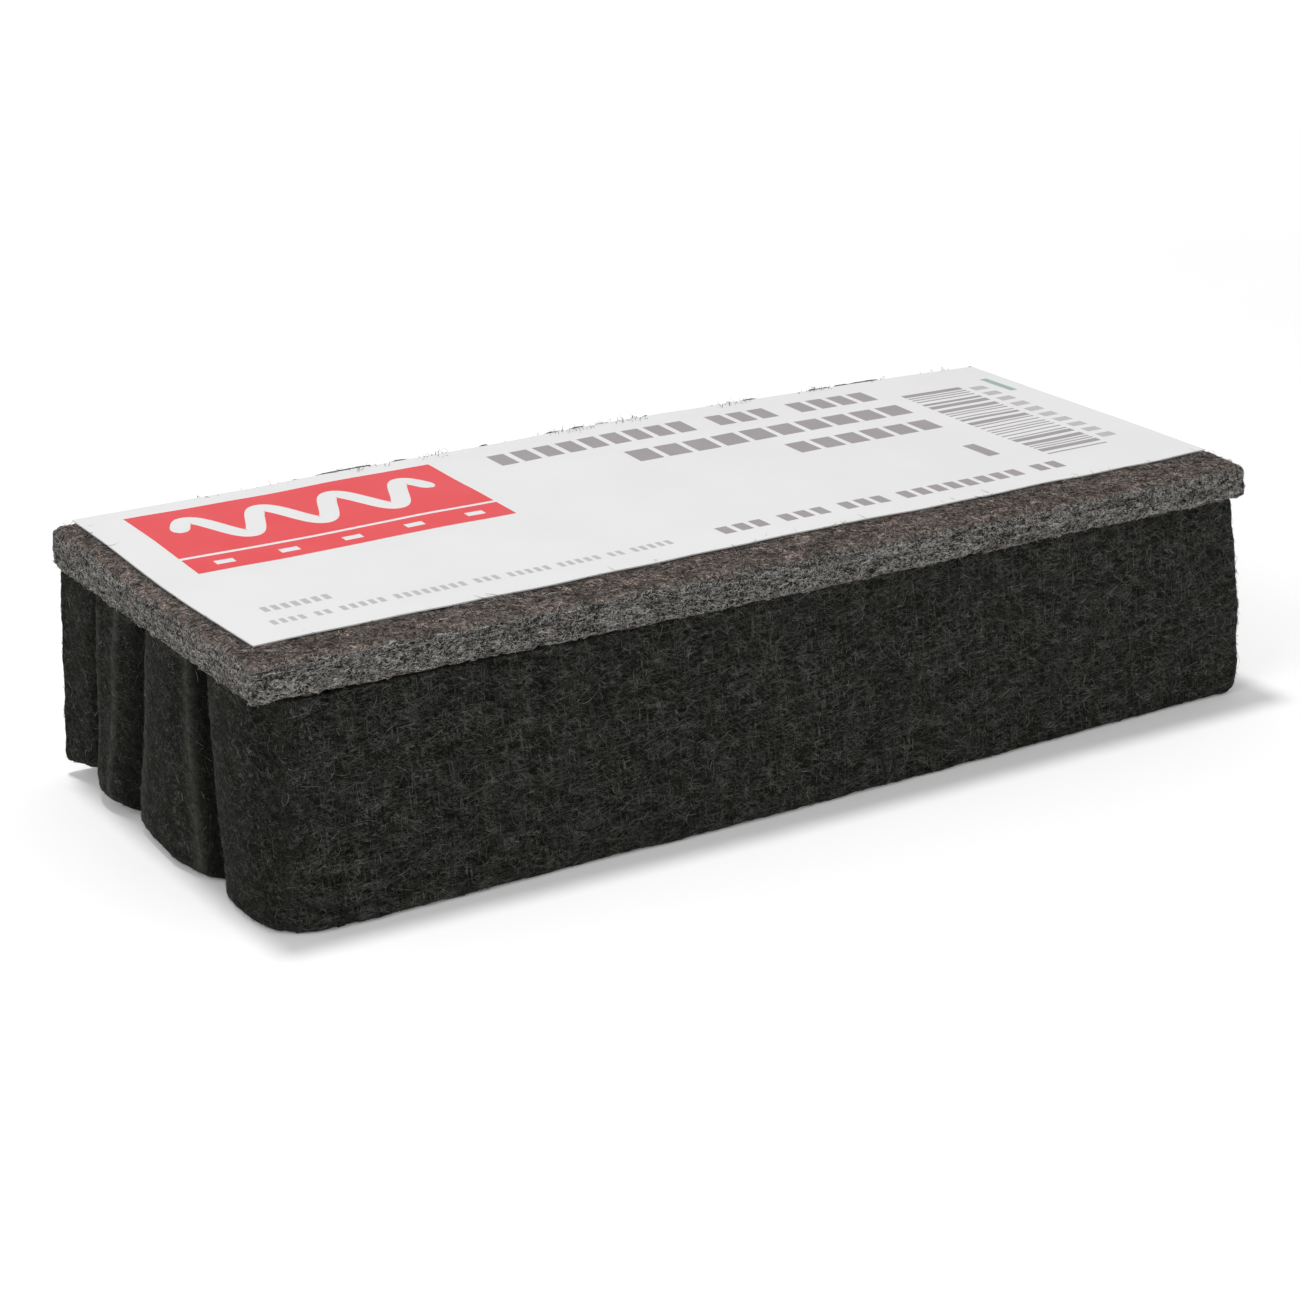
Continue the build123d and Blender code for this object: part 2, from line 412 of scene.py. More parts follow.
def bend_felt(points):
    """Moves felt points as one soft mass, so that neighbouring strips stay clear of each other."""
    x, y, z = points.T
    depth = np.clip(1 - z / PLY_TOP, 0, 1)
    from_nose = np.clip(x - NOSE_X, 0, None)
    fan_share = np.exp(-((from_nose / FAN_REACH) ** 2))
    lift_share = np.exp(-((from_nose / LIFT_REACH) ** 2))
    step_out_share = np.exp(-((from_nose / STEP_OUT_REACH) ** 2))
    fan_top = np.interp(y, CREVICE_Y, FAN_AT_TOP)
    fan_bottom = np.interp(y, CREVICE_Y, FAN_AT_BOTTOM)
    fan = (1 - depth) * fan_top + depth * fan_bottom
    lift = np.interp(y, CREVICE_Y, LIFT_AT_BOTTOM) * depth**3
    step_out = np.interp(y, CREVICE_Y, STEP_OUT_AT_BOTTOM) * depth
    flare_share = smoothstep(x, CUT_X - FLARE_REACH, CUT_X)
    ply_difference = 1 + FLARE_DIFFERENCE * np.sin(1.1 * y + 1.7)
    corner_share = np.exp(-z / CUT_CORNER_HEIGHT) * smoothstep(x, CUT_X - CUT_CORNER_REACH, CUT_X)
    moved = points.copy()
    moved[:, 0] += FLARE_AT_CUT_END * np.sin(FLARE_BEND * depth) * flare_share * ply_difference
    moved[:, 0] -= CUT_CORNER * corner_share
    moved[:, 0] -= NOSE_SWAY * depth * fan_share * np.sin(0.35 * (y + 12))
    moved[:, 0] -= step_out * step_out_share
    moved[:, 1] += fan * fan_share
    moved[:, 2] += lift * lift_share
    for ridge_y, ridge_width in NOSE_RIDGES:
        ridge = RIDGE_HEIGHT * np.exp(-(((y - ridge_y) / ridge_width) ** 2))
        moved[:, 0] -= ridge * smoothstep(from_nose, RIDGE_END, RIDGE_START) * (1 - depth**3)
    near_share = np.clip((FAR_Y - y) / (2 * FAR_Y), 0, 1) ** 3
    bow_share = np.exp(-(((x - NEAR_BOW_X) / NEAR_BOW_REACH) ** 2)) * near_share * np.sqrt(depth)
    moved[:, 1] -= NEAR_BOW * bow_share
    stretched = np.stack([x, y * 0.3, z * 1.2], axis=1)
    moved[:, 1] += BLOCK_WANDER * ripple(stretched, 46, 5) * (0.3 + 0.7 * depth)
    moved[:, 0] += NOSE_WANDER * ripple(points, 22, 6) * fan_share * depth
    return moved


def section_rows():
    """A ply's cross-section, going round it: (side, inset, height), side 1 being the outer face.

    Rows with no inset lie across the ply's lower or upper edge, and their side is the share across.
    """
    turn = np.linspace(0, math.pi / 2, 5)[1:-1]
    low, high = BOTTOM_RADIUS, PLY_TOP - TOP_RADIUS
    rows = [(1, 0.0, z) for z in np.linspace(high, low, OUTER_ROWS)]
    rows += [(1, low * (1 - math.cos(a)), low * (1 - math.sin(a))) for a in turn]
    rows += [(share, None, 0.0) for share in np.linspace(1, 0, EDGE_ROWS)]
    rows += [(0, low * (1 - math.sin(a)), low * (1 - math.cos(a))) for a in turn]
    rows += [(0, 0.0, z) for z in np.linspace(low, high, INNER_ROWS)]
    rows += [(0, TOP_RADIUS * (1 - math.cos(a)), high + TOP_RADIUS * math.sin(a)) for a in turn]
    rows += [(share, None, PLY_TOP) for share in np.linspace(0, 1, EDGE_ROWS)]
    rows += [(1, TOP_RADIUS * (1 - math.sin(a)), high + TOP_RADIUS * math.cos(a)) for a in turn]
    return rows


def ribbon(outer, inner, closing_rings=6):
    """A closed felt ribbon on edge, between two plan lines of matching points, with soft cut ends."""
    across = outer - inner
    width = np.linalg.norm(across, axis=1)[:, None]
    unit = across / width
    rows = section_rows()
    loops = np.zeros((len(outer), len(rows), 3))
    for index, (side, inset, z) in enumerate(rows):
        if inset is None:
            radius = BOTTOM_RADIUS if z == 0.0 else TOP_RADIUS
            loops[:, index, :2] = inner + unit * (radius + (width - 2 * radius) * side)
        elif side:
            loops[:, index, :2] = outer - unit * inset
        else:
            loops[:, index, :2] = inner + unit * inset
        loops[:, index, 2] = z
    for station in range(CUT_RINGS):
        shrink = CUT_RADIUS * (1 - math.sqrt(1 - (1 - station / CUT_RINGS) ** 2))
        for end in (station, len(loops) - 1 - station):
            middle = loops[end].mean(axis=0)
            scale = 1 - 2 * shrink / np.array([PLY, PLY, PLY_TOP])
            loops[end] = middle + (loops[end] - middle) * scale
    count = len(rows)
    stations = len(loops)
    grid = np.arange(stations * count).reshape(stations, count)
    onward = np.roll(grid, -1, axis=1)
    faces = np.stack([grid[:-1], grid[1:], onward[1:], onward[:-1]], axis=-1).reshape(-1, 4).tolist()
    points = [loops.reshape(-1, 3)]
    total = stations * count
    for end, ring_faces_forward in ((0, True), (stations - 1, False)):
        middle = loops[end].mean(axis=0)
        ring = grid[end]
        for share in np.linspace(1, 0, closing_rings + 1)[1:-1]:
            points.append(middle + (loops[end] - middle) * share)
            next_ring = np.arange(total, total + count)
            total += count
            quads = np.stack([ring, np.roll(ring, -1), np.roll(next_ring, -1), next_ring], axis=-1)
            faces += (quads if ring_faces_forward else quads[:, ::-1]).tolist()
            ring = next_ring
        points.append(middle[None])
        fan = np.stack([ring, np.roll(ring, -1), np.full(count, total)], axis=-1)
        faces += (fan if ring_faces_forward else fan[:, ::-1]).tolist()
        total += 1
    return np.vstack(points), faces


def end_steps(length):
    """Places along a straight ply from its cut end: close together over the soft edge, then even."""
    near = CUT_RADIUS * np.linspace(0, 1, CUT_RINGS + 1)[:-1]
    return np.concatenate([near, np.linspace(CUT_RADIUS, length, round(length / STATION_STEP))])


def nose_outline(near_y, far_y, base_x, near_shape, far_shape):
    """The plan outline of a fold's nose, from its near side to its far side, as two quarter ovals."""
    middle = (near_y + far_y) / 2
    half = (far_y - near_y) / 2
    angles = np.linspace(0, math.pi / 2, 120)
    sides = []
    for (depth, squareness), sign in ((near_shape, -1), (far_shape, 1)):
        reach = np.cos(angles) ** (2 / squareness)
        rise = np.sin(angles) ** (2 / squareness)
        sides.append(np.stack([NOSE_X + depth * (1 - reach), middle + sign * half * rise], axis=1))
    line = np.vstack([[[base_x, near_y]], sides[0][::-1], sides[1][1:], [[base_x, far_y]]])
    return resample(line, NOSE_STATIONS)


def felt_surface(points, faces, seed, free):
    """Gives felt its soft unevenness. free is how exposed each point is, from 0 to 1."""
    lumps = 0.05 * ripple(points, 7.0, seed) + 0.025 * ripple(points, 2.4, seed + 1)
    pile = 0.025 * ripple(points, 1.1, seed + 2)
    points = push_along_normals(points, faces, (lumps + pile) * (0.15 + 0.85 * free))
    points[:, 2] = np.clip(points[:, 2], 0.0, PLY_TOP)
    return points


def exposure(points):
    """How exposed felt points are: on the outside of the block, or hidden between two plies."""
    x, y, z = points.T
    outside = [NEAR_Y - y + SKIN, y - FAR_Y + SKIN, NOSE_X - x + NOSE_SKIN, x - CUT_X + SKIN, 0.5 - z]
    return smoothstep(np.max(outside, axis=0), 0.0, SKIN)


def folded_strip(number, near_y, far_y):
    """One strip folded in half: out along its near ply, round the nose, and back."""
    middle = (near_y + far_y) / 2
    slit_x = NOSE_X + PLY
    xs = CUT_X - end_steps(CUT_X - slit_x)
    nose = nose_outline(near_y, far_y, slit_x, *NOSE_SHAPES[number])
    near_outer = np.stack([xs, np.full(len(xs), near_y)], axis=1)
    far_outer = np.stack([xs, np.full(len(xs), far_y)], axis=1)[::-1]
    slit = PLY_GAP / 2
    angles = np.linspace(-math.pi / 2, math.pi / 2, NOSE_STATIONS)
    slit_end = np.stack([slit_x - slit * np.cos(angles), middle + slit * np.sin(angles)], axis=1)
    near_inner = near_outer * [1, 0] + [0, middle - slit]
    far_inner = far_outer * [1, 0] + [0, middle + slit]
    outer = np.vstack([near_outer[:-1], nose, far_outer[1:]])
    inner = np.vstack([near_inner[:-1], slit_end, far_inner[1:]])
    return ribbon(outer, inner)


def straight_strip(near_y, far_y):
    """The single ply on the far side, with two cut ends."""
    half = end_steps((CUT_X - NOSE_X) / 2)
    xs = np.concatenate([CUT_X - half, (NOSE_X + half)[::-1][1:]])
    outer = np.stack([xs, np.full(len(xs), far_y)], axis=1)
    inner = np.stack([xs, np.full(len(xs), near_y)], axis=1)
    return ribbon(outer[::-1], inner[::-1])


def crevice_shade(points):
    """How much each point lies in a crevice's shade: most at the crevice, fading on its far side."""
    x, y = points[:, 0], points[:, 1]
    shade = np.zeros(len(points))
    for crevice_y, width, darkness in zip(CREVICE_Y[1:-1], CREVICE_WIDTHS, CREVICE_DARKNESS):
        beyond = (y > crevice_y - 0.05) * smoothstep(y, crevice_y + width, crevice_y + 0.5 * width)
        shade = np.maximum(shade, darkness * beyond)
    return shade * smoothstep(x - NOSE_X, SHADE_GONE, SHADE_FULL)


def painted_highlight_share(points):
    """Where a painted highlight lightens the noses: on ridges, and at the rims of crevices."""
    x, y = points[:, 0], points[:, 1]
    share = np.zeros(len(points))
    for ridge_y, ridge_width in NOSE_RIDGES:
        share = np.maximum(share, np.exp(-(((y - ridge_y) / (0.7 * ridge_width)) ** 2)))
    for crevice_y in CREVICE_Y[1:-1]:
        rim = (y < crevice_y) * smoothstep(crevice_y - y, RIM_GONE, RIM_FULL)
        share = np.maximum(share, rim)
    return share * smoothstep(x - NOSE_X, HIGHLIGHT_GONE, HIGHLIGHT_FULL)


def store(piece, name, values):
    """Keeps one number for each point of a piece's mesh, for its material to read."""
    stored = piece.data.attributes.new(name, "FLOAT", "POINT")
    stored.data.foreach_set("value", values.astype(np.float32))


def make_felt(name, node, points, faces, seed):
    """A black felt strip's finished piece, which replaces its CAD node."""
    straight = points
    points = bend_felt(felt_surface(points, faces, seed, exposure(points)))
    piece = make_mesh(name, points, faces, [BLACK_FELT])
    # The crevices' painted shade and the painted highlight on ridges and crevice rims, kept for the
    # material to read.
    store(piece, "crevice", crevice_shade(straight))
    store(piece, "painted_highlight", painted_highlight_share(straight))
    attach(piece, "root")
    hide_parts(node)
    return piece


felt_pieces = []
for number, (node, (low, high)) in enumerate(zip(fold_nodes, fold_boxes)):
    points, faces = folded_strip(number, low[1], high[1])
    felt_pieces.append(make_felt(f"black_felt_fold_{number + 1}", node, points, faces, 100 + 10 * number))
points, faces = straight_strip(strip_low[1], strip_high[1])
felt_pieces.append(make_felt("black_felt_single_strip", "felt_single_strip", points, faces, 140))


# ---------------- grey felt backing
BACKING_RADIUS_BARE = 1.0
BACKING_RADIUS_LABELLED = 0.35
BACKING_RADIUS_BOTTOM = 0.5
BACKING_STEP = 0.6
BACKING_SIDE_ROWS = 10
# The upper face is crowned towards the far side, and its far left corner is raised.
CROWN_HEIGHT = 0.6
CORNER_RISE = 0.7
# Its far side bows outwards. Its near side starts inwards at the left and ends outwards.
FAR_BOW = 1.3
NEAR_SIDE_IN = 0.6
NEAR_SIDE_OUT = 0.8
# Tufts past the label's far edge stand this high.
TUFT_HEIGHT = 0.4


def top_rise(x, y):
    """How far the backing's upper face stands above the frame's flat one: a crown and a slow wave."""
    crown = CROWN_HEIGHT * (1 - (x / HALF_LENGTH) ** 2) * smoothstep(y, -5, HALF_WIDTH)
    corner = CORNER_RISE * smoothstep(x, -35, -62) * smoothstep(y, 0, 24)
    flat = np.stack([x, y, 0 * x], axis=1)
    return crown + corner + 0.05 * ripple(flat, 34, 21) + 0.012 * ripple(flat, 9, 22)


def side_shift(x, y):
    """How the backing's long sides bow: the near one outwards to the right, the far one mid-length."""
    near = NEAR_SIDE_IN - (NEAR_SIDE_IN + NEAR_SIDE_OUT) * smoothstep(x, -HALF_LENGTH, 5)
    return near * np.clip(-y / HALF_WIDTH, 0, 1) ** 2 + far_bow(x, y)


def far_bow(x, y):
    """How far the backing and its label bow towards the far side, most at mid-length."""
    return FAR_BOW * (1 - (x / HALF_LENGTH) ** 2) * np.clip(y / HALF_WIDTH, 0, 1) ** 2


def slab_lines(low, high, step, edge):
    """Grid lines along one axis, closer together where the edges are rounded."""
    rounded = edge * np.array([0, 0.12, 0.35, 0.7, 1.1])
    count = max(2, round((high - low - 3 * edge) / step))
    inner = np.linspace(low + 1.5 * edge, high - 1.5 * edge, count)
    return np.concatenate([low + rounded, inner, (high - rounded)[::-1]])


def slab_surface(lines):
    """The closed quad surface of a box cut by three sets of grid lines."""
    index = {}
    points, faces = [], []

    def corner(i, j, k):
        if (i, j, k) not in index:
            index[i, j, k] = len(points)
            points.append((lines[0][i], lines[1][j], lines[2][k]))
        return index[i, j, k]

    ends = [len(line) - 1 for line in lines]
    for axis in range(3):
        first, second = (axis + 1) % 3, (axis + 2) % 3
        for level, flip in ((0, True), (ends[axis], False)):
            for a in range(ends[first]):
                for b in range(ends[second]):
                    face = []
                    for da, db in ((0, 0), (1, 0), (1, 1), (0, 1)):
                        place = [0, 0, 0]
                        place[axis], place[first], place[second] = level, a + da, b + db
                        face.append(corner(*place))
                    faces.append(face[::-1] if flip else face)
    return np.array(points), faces


def round_slab(points, low, high):
    """Rounds a box's edges: soft where the upper edge is bare, tighter below and beside the label."""
    x, y, z = points.T
    bare_near = smoothstep(y, label_low[1], label_low[1] - 4)
    bare_left = smoothstep(x, label_low[0] + 2, label_low[0])
    bare = np.maximum(bare_near, bare_left)
    upper = BACKING_RADIUS_LABELLED + (BACKING_RADIUS_BARE - BACKING_RADIUS_LABELLED) * bare
    share = smoothstep(z, low[2], high[2])
    radius = (BACKING_RADIUS_BOTTOM + (upper - BACKING_RADIUS_BOTTOM) * share)[:, None]
    core = np.clip(points, low + radius, high - radius)
    away = points - core
    return core + radius * away / np.maximum(np.linalg.norm(away, axis=1), 1e-9)[:, None]


def make_backing():
    """The heather felt slab: rounded, woolly where it is bare, crowned and bowed."""
    lines = [
        slab_lines(backing_low[0], backing_high[0], BACKING_STEP, BACKING_RADIUS_BARE),
        slab_lines(backing_low[1], backing_high[1], BACKING_STEP, BACKING_RADIUS_BARE),
        np.linspace(backing_low[2], backing_high[2], BACKING_SIDE_ROWS),
    ]
    points, faces = slab_surface(lines)
    points = round_slab(points, backing_low, backing_high)
    x, y, z = points.T
    bare = np.maximum(smoothstep(x, label_low[0] + 0.5, label_low[0] - 0.3),
                      smoothstep(y, label_low[1] + 0.5, label_low[1] - 0.3))
    side = 1 - smoothstep(z, backing_high[2] - 0.7, backing_high[2] - 0.2)
    rough = np.maximum(np.where(z > backing_high[2] - 0.7, bare, 0), side)
    wool = 0.04 * ripple(points, 4.5, 31) + 0.045 * ripple(points, 1.5, 32)
    wool += 0.045 * ripple(points, 0.9, 33)
    points = push_along_normals(points, faces, wool * rough)
    x, y, z = points.T
    up = smoothstep(z, backing_low[2], backing_high[2])
    along = points * [1, 0, 0]
    tufted = smoothstep(ripple(along, 11, 35) + 0.5 * ripple(along, 2.5, 36), -0.9, 0.9)
    past_label = smoothstep(y, label_high[1] - 0.05, label_high[1] + 0.15) * smoothstep(x, -50, -30)
    points[:, 2] += (top_rise(x, y) + TUFT_HEIGHT * tufted * past_label) * up
    points[:, 1] += side_shift(x, y)
    piece = make_mesh("grey_felt_backing", points, faces, [GREY_FELT])
    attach(piece, "root")
    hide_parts("backing_felt")
    return piece


backing = make_backing()


# ---------------- printed paper label
# The label's mesh has points this far apart, and its near left corner lies this far to the right.
LABEL_GRID = 2.0
CORNER_SHIFT = 0.35
# The red panel's corners, the paper rule across it, and its margins and dashes.
PANEL = (-56.2, 2.9, -18.0, 22.3)
PANEL_RULE = (7.3, 7.85)
WAVE_MARGIN = 3.5
DASH_MARGIN = 4.0
DASH_COUNT = 5
DASH_HALF = (1.1, 0.55)
# The gaps between the blocks of a row and the spaces between its groups.
LARGE_PRINT = (0.8, 3.4)
MIDDLE_PRINT = (0.7, 2.2)
SMALL_PRINT = (0.45, 1.2)


def rectangle(low_x, low_y, high_x, high_y):
    """A rectangle's four corners."""
    return [(low_x, low_y), (high_x, low_y), (high_x, high_y), (low_x, high_y)]


def wavy_band(low_x, high_x, middle_y, swing=3.4, waves=3.5, thick=2.2):
    """The outline of an even wave with rounded ends."""
    share = np.linspace(0, 1, 260)
    phase = 2 * math.pi * waves * share
    x = low_x + (high_x - low_x) * share
    y = middle_y + swing * np.sin(phase)
    line = np.stack([x, y], axis=1)
    along = np.gradient(line, axis=0)
    along /= np.linalg.norm(along, axis=1)[:, None]
    half = thick / 2 * np.sqrt(1 - np.clip(1 - np.minimum(share, 1 - share) / 0.018, 0, 0.995) ** 2)
    aside = np.stack([-along[:, 1], along[:, 0]], axis=1) * half[:, None]
    return [tuple(point) for point in np.vstack([line - aside, (line + aside)[::-1]])]


def block_row(low_x, high_x, low_y, high_y, words, gap, space):
    """Plain blocks in place of a line of lettering. words gives how many blocks each group has."""
    count = sum(words)
    free = high_x - low_x - gap * (count - len(words)) - space * (len(words) - 1)
    shapes = []
    x = low_x
    for word in words:
        for _ in range(word):
            shapes.append(rectangle(x, low_y, x + free / count, high_y))
            x += free / count + gap
        x += space - gap
    return shapes


def stripe_stack(low_x, high_x, low_y, high_y, seed):
    """A stack of stripes of uneven thickness, with no readable code in it."""
    rng = np.random.default_rng(seed)
    stripes = []
    y = low_y
    while y < high_y - 1.0:
        thick = rng.choice([0.35, 0.35, 0.7, 1.05])
        stripes.append(rectangle(low_x, y, high_x, y + thick))
        y += thick + rng.choice([0.4, 0.5, 0.8])
    return stripes


def printed_shapes():
    """Every printed shape, as (material slot, outline). A later shape prints over an earlier one."""
    paper, red, grey, pale, green = range(5)
    low_x, low_y, high_x, high_y = PANEL
    shapes = [(red, rectangle(*PANEL)), (paper, rectangle(low_x, PANEL_RULE[0], high_x, PANEL_RULE[1]))]
    wave = wavy_band(low_x + WAVE_MARGIN, high_x - WAVE_MARGIN, (PANEL_RULE[1] + high_y) / 2)
    shapes.append((paper, wave))
    dash_y = (low_y + PANEL_RULE[0]) / 2
    half_x, half_y = DASH_HALF
    for x in np.linspace(low_x + DASH_MARGIN, high_x - DASH_MARGIN, DASH_COUNT):
        shapes.append((paper, rectangle(x - half_x, dash_y - half_y, x + half_x, dash_y + half_y)))
    rows = [
        (grey, block_row(-10.8, 43.0, 17.8, 21.5, [9, 3, 4], *LARGE_PRINT)),
        (grey, block_row(3.8, 43.4, 11.3, 15.0, [10], *LARGE_PRINT)),
        (grey, block_row(21.9, 42.8, 4.7, 8.4, [6], *LARGE_PRINT)),
        (grey, [rectangle(39.9, -7.7, 41.6, -2.6)]),
        (grey, block_row(-2.6, 45.0, -15.6, -13.2, [3, 3, 3, 8, 2], *MIDDLE_PRINT)),
        (pale, block_row(-55.5, -47.8, -11.2, -9.6, [7], *SMALL_PRINT)),
        (pale, block_row(-56.5, -9.0, -15.2, -13.8, [4, 2, 5, 8, 3, 5, 5, 2, 5], *SMALL_PRINT)),
        (grey, stripe_stack(46.2, 55.2, -11.0, 18.6, 51)),
        (pale, [rectangle(56.2, y, 58.4, y + 1.5) for y in np.arange(-9.0, 17.0, 2.7)]),
        (green, [rectangle(60.0, 13.1, 61.1, 19.4)]),
    ]
    return shapes + [(ink, outline) for ink, outlines in rows for outline in outlines]


def finely(outline):
    """An outline with points added on its long edges, so that a curved surface keeps its curve there."""
    points = []
    for start, end in zip(outline, outline[1:] + outline[:1]):
        parts = max(1, math.ceil(math.dist(start, end) / LABEL_GRID))
        points += [tuple(np.array(start) + (np.array(end) - start) * part / parts) for part in range(parts)]
    return points


def cut_label(low, high, shapes):
    """A rectangle cut into triangles along every shape's outline: (plan points, triangles, materials)."""
    xs = np.linspace(low[0], high[0], round((high[0] - low[0]) / LABEL_GRID) + 1)
    ys = np.linspace(low[1], high[1], round((high[1] - low[1]) / LABEL_GRID) + 1)
    edge = [(x, ys[0]) for x in xs[:-1]] + [(xs[-1], y) for y in ys[:-1]]
    edge += [(x, ys[-1]) for x in xs[:0:-1]] + [(xs[0], y) for y in ys[:0:-1]]
    outlines = [edge] + [finely(outline) for _, outline in shapes]
    points = [point for outline in outlines for point in outline]
    starts = np.cumsum([0] + [len(outline) for outline in outlines])
    loops = [list(range(start, start + len(outline))) for start, outline in zip(starts, outlines)]
    points += [(x, y) for x in xs[1:-1] for y in ys[1:-1]]
    cut = delaunay_2d_cdt([Vector(point) for point in points], [], loops, 1, 1e-4, True)
    materials = [shapes[max(sources) - 1][0] if max(sources) else 0 for sources in cut[5]]
    return np.array([tuple(point) for point in cut[0]]), [list(face) for face in cut[2]], materials


def curved_film(name, low, high, shapes, materials):
    """A thin closed film that follows the backing's upper face, printed with the given shapes."""
    plan, triangles, material_ids = cut_label(low, high, shapes)
    x, y = plan.T
    edge_wave = 0.12 * np.sin(0.21 * x + 0.5) + 0.07 * np.sin(0.53 * x)
    rise = top_rise(x, y)
    plan[:, 0] += CORNER_SHIFT * smoothstep(x, low[0] + 12, low[0]) * smoothstep(y, 0, low[1])
    plan[:, 1] += far_bow(x, y) + edge_wave * smoothstep(y, low[1] + 8, low[1])
    upper = np.column_stack([plan, high[2] + rise])
    lower = np.column_stack([plan, low[2] + rise])
    count = len(plan)
    directed = {(face[i], face[(i + 1) % 3]) for face in triangles for i in range(3)}
    rim = [(a, b) for a, b in directed if (b, a) not in directed]
    faces = triangles + [[corner + count for corner in face[::-1]] for face in triangles]
    faces += [[b, a, a + count, b + count] for a, b in sorted(rim)]
    ids = material_ids + material_ids + [0] * len(rim)
    return make_mesh(name, np.vstack([upper, lower]), faces, materials, ids)


LABEL_INKS = [PAPER, RED_INK, GREY_INK, PALE_INK, GREEN_INK]
label = curved_film("paper_label", label_low, label_high, printed_shapes(), LABEL_INKS)
label.data.polygons.foreach_set("use_smooth", np.zeros(len(label.data.polygons), dtype=bool))
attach(label, "root")
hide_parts("label_paper")

film_low, film_high = box_mm("label_adhesive")
ADHESIVE = film_material("label_adhesive", linear(196, 190, 176), linear(170, 164, 150), 0.45)
film = curved_film("adhesive_film", film_low, film_high, [], [ADHESIVE])
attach(film, "root")
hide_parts("label_adhesive")

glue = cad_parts["ply_glue_layer"]
glue.data.materials.clear()
glue.data.materials.append(film_material("felt_glue", linear(74, 70, 60), linear(44, 42, 36), 0.6))


# ---------------- loose fibres
FIBRE_LOOKS = {"black_felt": (BLACK_HAIRS, (0.014, 0.026)), "grey_felt": (GREY_HAIRS, (0.018, 0.034))}
FIBRE_POINTS = 4
FIBRE_TAPER = np.array([0.8, 1.0, 0.8, 0.3])
FIBRE_ROOT = -0.04
FIBRE_CURL = 0.35
FIBRE_WANDER = 0.2
SHORT_BIAS = 1.6


class Soup:
    """The triangles of several pieces, in millimetres, to grow fibres on."""

    def __init__(self, pieces):
        points, triangles, start = [], [], 0
        for piece in pieces:
            mesh = piece.data
            mesh.calc_loop_triangles()
            corners = np.empty(len(mesh.loop_triangles) * 3, dtype=np.int32)
            mesh.loop_triangles.foreach_get("vertices", corners)
            places = np.empty(len(mesh.vertices) * 3)
            mesh.vertices.foreach_get("co", places)
            points.append(places.reshape(-1, 3) / MM)
            triangles.append(corners.reshape(-1, 3) + start)
            start += len(mesh.vertices)
        self.points = np.vstack(points)
        self.triangles = np.vstack(triangles)
        self.tree = BVHTree.FromPolygons(self.points.tolist(), self.triangles.tolist())
        first, second, third = (self.points[self.triangles[:, i]] for i in range(3))
        cross = np.cross(second - first, third - first)
        self.areas = np.linalg.norm(cross, axis=1) / 2
        self.normals = cross / np.maximum(2 * self.areas, 1e-12)[:, None]
        self.centres = (first + second + third) / 3

    def scatter(self, count, weights, rng):
        """Random surface points and their normals."""
        share = self.areas * weights
        chosen = rng.choice(len(self.areas), count, p=share / share.sum())
        corner = rng.dirichlet((1, 1, 1), count)
        places = (self.points[self.triangles[chosen]] * corner[:, :, None]).sum(axis=1)
        return places, self.normals[chosen]

    def nearest(self, places):
        """The surface points nearest to places, with their normals."""
        found = [self.tree.find_nearest(place) for place in places.tolist()]
        return np.array([hit[0] for hit in found]), np.array([hit[1] for hit in found])


def unit(vectors):
    """The vectors, each brought to a length of one."""
    return vectors / np.maximum(np.linalg.norm(vectors, axis=-1, keepdims=True), 1e-9)


